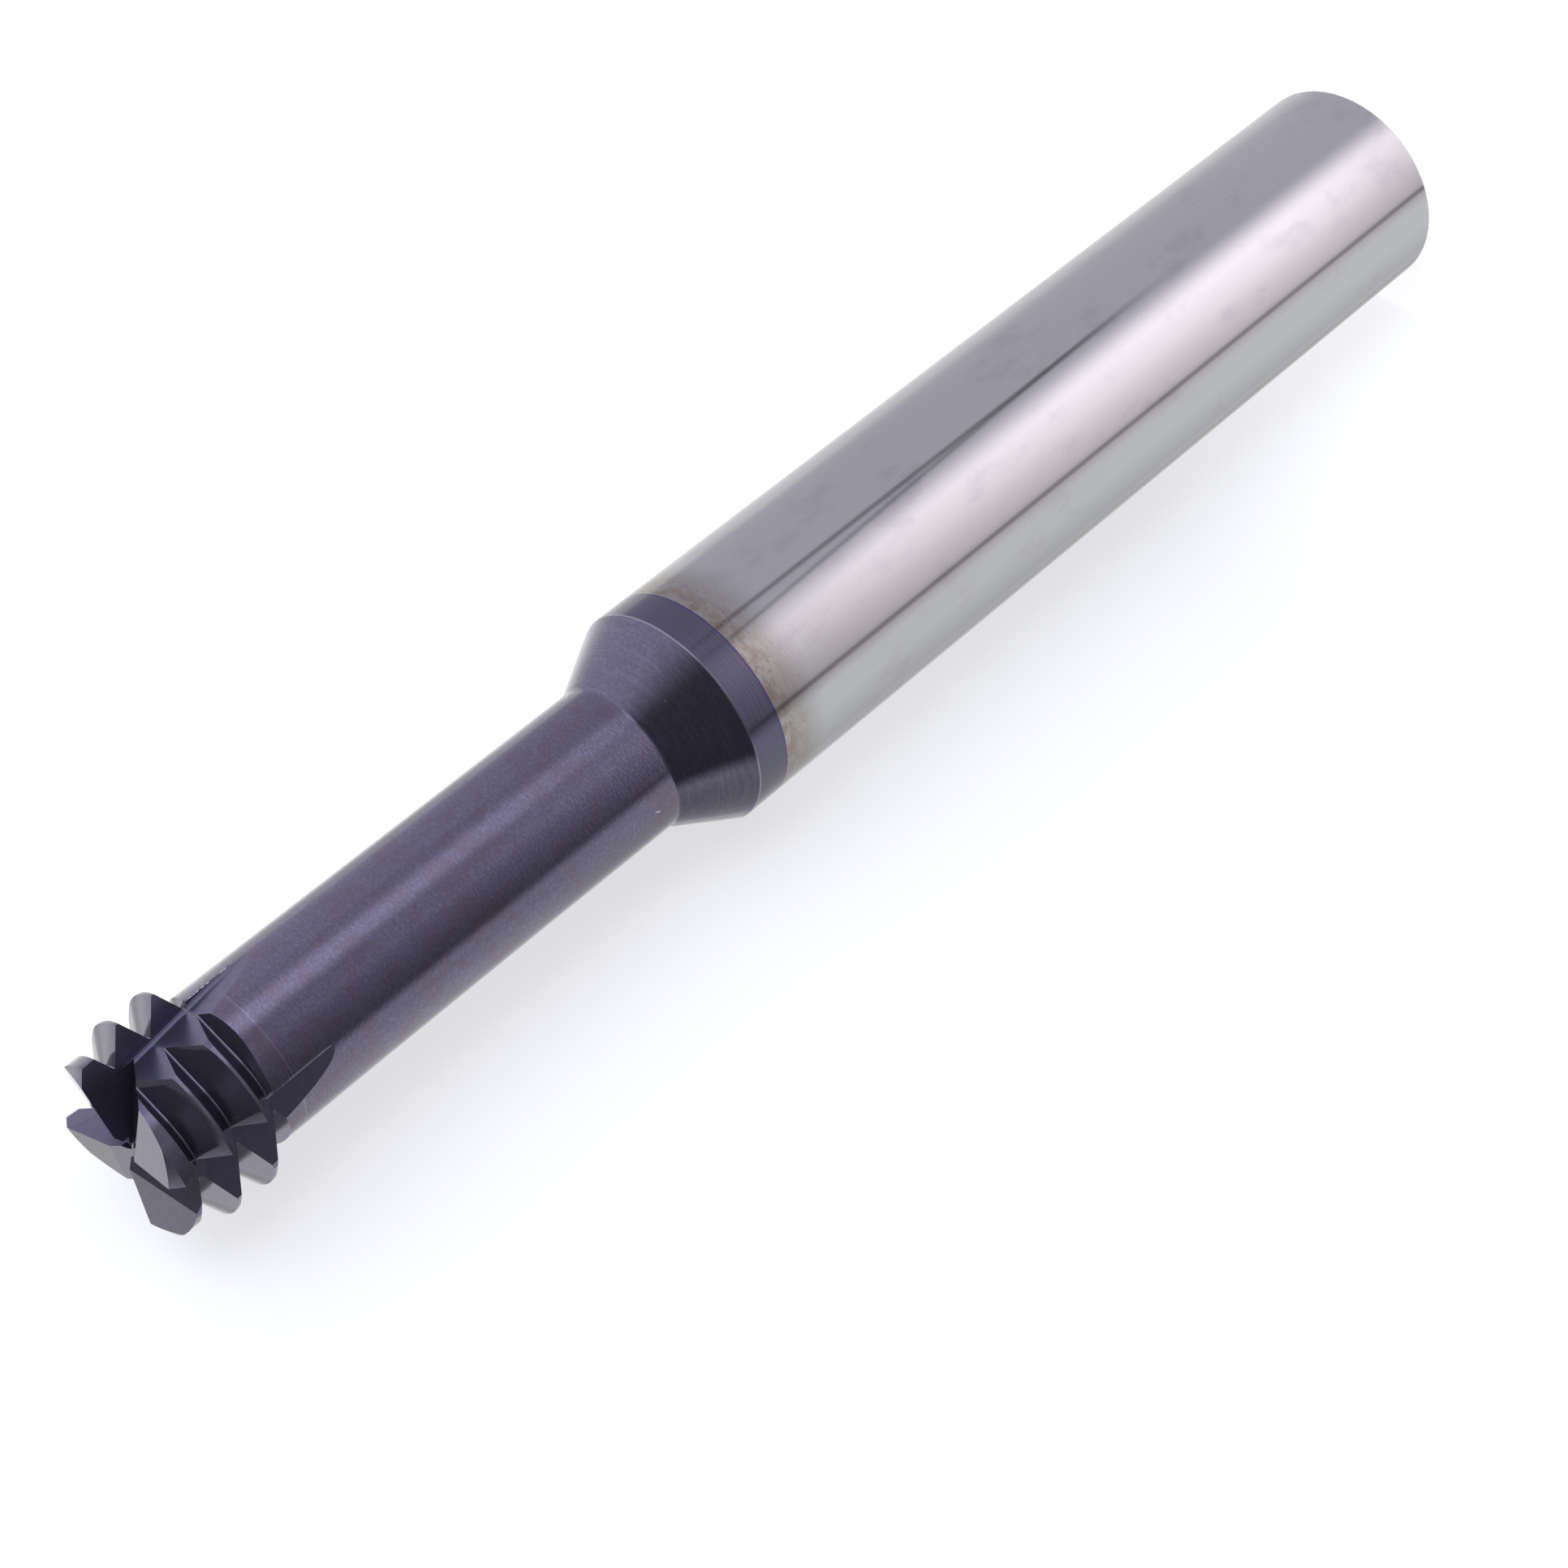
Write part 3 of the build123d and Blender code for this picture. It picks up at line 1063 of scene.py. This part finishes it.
    def table_share(self, tree: Tree, turn: Source, lean: Source) -> Node:
        """Builds the share of the table among what is seen, up to its edge on either side.

        Args:
            tree: The node tree.
            turn: The turn round the tool.
            lean: The lean along it.

        Returns:
            The node that gives 1 where the table is seen and 0 above it.
        """
        left = add_node(tree, "Math", DIFFERENCE, turn, self.left_edge_turn)
        left = add_node(tree, "Math", QUOTIENT, left, curve(tree, lean, self.left_edge_reach))
        left = add_node(tree, "MapRange", SOFT_STEP, left, 1.0, -1.0)
        right = add_node(tree, "Math", DIFFERENCE, turn, curve(tree, lean, self.table_start))
        right = add_node(tree, "MapRange", SOFT_STEP, right, *self.right_edge)
        return add_node(tree, "Math", SUM, left, right)

    def tint(self, tree: Tree, lean: Source, to_panel: Source, on_table: Source) -> Node:
        """Builds the colours of the wall, the panel and the table.

        Args:
            tree: The node tree.
            lean: The lean along the tool.
            to_panel: The share that belongs to the panel's side.
            on_table: The share of the table.

        Returns:
            The node that gives the colour.
        """
        to_rear = add_node(tree, "MapRange", SOFT_STEP, lean, *self.wall_to_rear)
        warm = add_node(tree, "Math", PRODUCT, to_panel, to_rear)
        colour = add_node(tree, "Mix", COLOUR_MIX, to_rear, self.wall_colour, self.rear_wall_colour)
        for share, tint in ((warm, self.panel_colour), (on_table, self.table_colour)):
            colour = add_node(tree, "Mix", COLOUR_MIX, share, colour, tint)
        return colour

    def build(self) -> None:
        """Builds the world that holds the tent, which only the gloss sees."""
        world = bpy.data.worlds.new("light_tent")
        bpy.context.scene.world = world
        world.use_nodes = True
        world.cycles.sampling_method = "NONE"
        tree = world.node_tree
        tree.nodes.clear()
        way = add_node(tree, "TexCoord").outputs["Generated"]
        up, side = [add_node(tree, "VectorMath", DOT, way, axis) for axis in (self.table_normal, self.across)]
        lean = add_node(tree, "SeparateXYZ", None, way).outputs["Z"]
        turn = add_node(tree, "Math", PRODUCT, add_node(tree, "Math", ANGLE, side, up), degrees(1.0))

        above, to_panel = self.above_table(tree, turn, lean)
        on_table = self.table_share(tree, turn, lean)
        level = add_node(tree, "Mix", NUMBER_MIX, on_table, above, self.table(tree, turn, lean))
        to_tip = add_node(tree, "MapRange", SOFT_STEP, lean, *self.head_to_tip)
        level = add_node(tree, "Mix", NUMBER_MIX, to_tip, level, self.tip_room)
        path = add_node(tree, "LightPath")
        again = add_node(tree, "MapRange", SOFT_STEP, path.outputs["Glossy Depth"], *self.second_bounce)
        rearward = add_node(tree, "MapRange", SOFT_STEP, lean, *self.second_bounce_lean)
        again = add_node(tree, "Math", PRODUCT, again, rearward)
        dimmed = add_node(tree, "Math", PRODUCT, level, self.second_bounce_level)
        level = add_node(tree, "Mix", NUMBER_MIX, again, level, dimmed)
        tent = add_node(tree, "Background", None, self.tint(tree, lean, to_panel, on_table), level)

        seen = path.outputs["Is Camera Ray"]
        plain_colour = add_node(tree, "Mix", COLOUR_MIX, seen, self.wall_colour, self.table_colour)
        plain_level = add_node(tree, "Mix", NUMBER_MIX, seen, self.plain_level, 1.0)
        plain = add_node(tree, "Background", None, plain_colour, plain_level)
        light = add_node(tree, "MixShader", None, path.outputs["Is Glossy Ray"], plain, tent)
        add_node(tree, "OutputWorld", Surface=light)


@dataclass(frozen=True)
class PaleCard:
    """Matt white card of the floor and the backdrop: it shows the tool's shadow, and the gloss doesn't see it."""

    name: str
    colour: str = "FFFFFF"
    shade_colour: str = "EDF3FF"
    black: str = "000000"
    glow: float = 0.6
    foot_glow: float = 0.6
    foot_mm: float = 22.0
    matt: float = 0.35

    def build(self) -> bpy.types.Material:
        """Builds the material, which is clear from behind.

        Returns:
            The node material.
        """
        material, tree = new_material(self.name)
        matt = add_node(tree, "BsdfDiffuse", Color=self.shade_colour)
        place = add_node(tree, "TexCoord").outputs["Object"]
        height = add_node(tree, "SeparateXYZ", None, place).outputs["Z"]
        # Painted light: the card glows by itself, going from foot_glow at the floor to glow at foot_mm up, so a
        # backdrop can be painted brighter towards the floor.
        level = add_node(
            tree, "MapRange", SOFT_STEP, height, 0.0, self.foot_mm * MM, self.foot_glow, self.glow
        )
        glow = add_node(tree, "Emission", None, self.colour, level)
        dim = add_node(tree, "BsdfTransparent", Color=self.black)
        part = add_node(tree, "MixShader", None, self.matt, dim, matt)
        front = add_node(tree, "AddShader", None, part, glow)
        clear = add_node(tree, "BsdfTransparent")
        behind = add_node(tree, "NewGeometry").outputs["Backfacing"]
        add_node(tree, "OutputMaterial", Surface=add_node(tree, "MixShader", None, behind, front, clear))
        material.cycles.emission_sampling = "NONE"
        return material


@dataclass
class Studio:
    """The pale stage, the lamp and the camera."""

    camera_at_mm: Point = (24.076, -113.269, 106.985)
    camera_turn: Point = (-49.432, 42.5724, -135.4561)
    lens_mm: float = 73.8756
    sensor_mm: float = 36.0
    clip_mm: Span = (1.0, 10000.0)
    backdrop_behind_axis_mm: float = 5.02
    card_reach_mm: float = 1500.0
    floor_glow: float = 0.85
    backdrop_glow: float = 0.66
    # Painted light: the backdrop glows brighter towards the floor than higher up.
    foot_glow: float = 0.8
    lamp_power: float = 4.0
    lamp_size_mm: float = 700.0
    lamp_at_mm: float = 600.0
    lamp_way: Point = (0.9, -0.3, 0.35)
    lamp_aim_z_mm: float = 40.0

    def place_camera(self) -> None:
        """Stands the camera where the picture was taken from."""
        data = bpy.data.cameras.new("camera")
        data.lens = self.lens_mm
        data.sensor_width = self.sensor_mm
        data.clip_start, data.clip_end = [distance * MM for distance in self.clip_mm]
        camera = bpy.data.objects.new("camera", data)
        camera.location = Vector(self.camera_at_mm) * MM
        camera.rotation_euler = Euler([radians(a) for a in self.camera_turn])
        bpy.context.scene.collection.objects.link(camera)
        bpy.context.scene.camera = camera

    def place_card(self, name: str, corners: list[Vector], glow: float, foot_glow: float) -> None:
        """Adds a flat card of the stage.

        Args:
            name: The card's name.
            corners: Its corners in metres, going round its front.
            glow: Its own light, the rest of its white being what falls on it.
            foot_glow: The same down at the floor.
        """
        shape = bmesh.new()
        shape.faces.new([shape.verts.new(corner) for corner in corners])
        card = new_object(name, shape)
        card.data.materials.append(PaleCard(name + "_card", glow=glow, foot_glow=foot_glow).build())
        card.visible_glossy = False
        card.visible_diffuse = False
        card.visible_shadow = False

    def place_lamp(self, up: Vector, across: Vector) -> None:
        """Hangs the soft lamp.

        Args:
            up: The way off the table.
            across: The way over the table, square to the tool.
        """
        data = bpy.data.lights.new("soft_lamp", "AREA")
        data.energy = self.lamp_power
        data.size = self.lamp_size_mm * MM
        lamp = bpy.data.objects.new("soft_lamp", data)
        way = up * self.lamp_way[0] + across * self.lamp_way[1] + Vector((0, 0, self.lamp_way[2]))
        way.normalize()
        lamp.location = way * (self.lamp_at_mm * MM) + Vector((0, 0, self.lamp_aim_z_mm * MM))
        lamp.rotation_euler = way.to_track_quat("Z", "Y").to_euler()
        lamp.visible_glossy = False
        bpy.context.scene.collection.objects.link(lamp)

    def build(self) -> None:
        """Sets up the colour management, the camera, the stage, the surroundings and the lamp."""
        bpy.context.scene.view_settings.view_transform = "Standard"
        self.place_camera()
        reach = self.card_reach_mm * MM
        square = ((-1, -1, 0), (1, -1, 0), (1, 1, 0), (-1, 1, 0))
        corners = [Vector(corner) * reach for corner in square]
        self.place_card("floor", corners, self.floor_glow, self.floor_glow)
        tent = SoftTent()
        up, across = Vector(tent.table_normal), Vector(tent.across)
        back = up * (-self.backdrop_behind_axis_mm * MM)
        tall = Vector((0, 0, reach))
        left, right = back - across * reach, back + across * reach
        corners = [right, left, left + tall, right + tall]
        self.place_card("backdrop", corners, self.backdrop_glow, self.foot_glow)
        tent.build()
        self.place_lamp(up, across)


def main() -> None:
    """Builds the tool and its stage, and reports each piece."""
    logging.basicConfig(level=logging.INFO, format="%(name)s: %(message)s")
    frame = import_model()
    cutter = CutterBody()
    piece = cutter.build(frame["nodes"][cutter.node])
    cutter.dress(piece)
    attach(piece, "root")
    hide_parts(cutter.node)
    LOG.info("%s: %d faces", piece.name, len(piece.data.polygons))
    Studio().build()


if __name__ == "__main__":
    main()
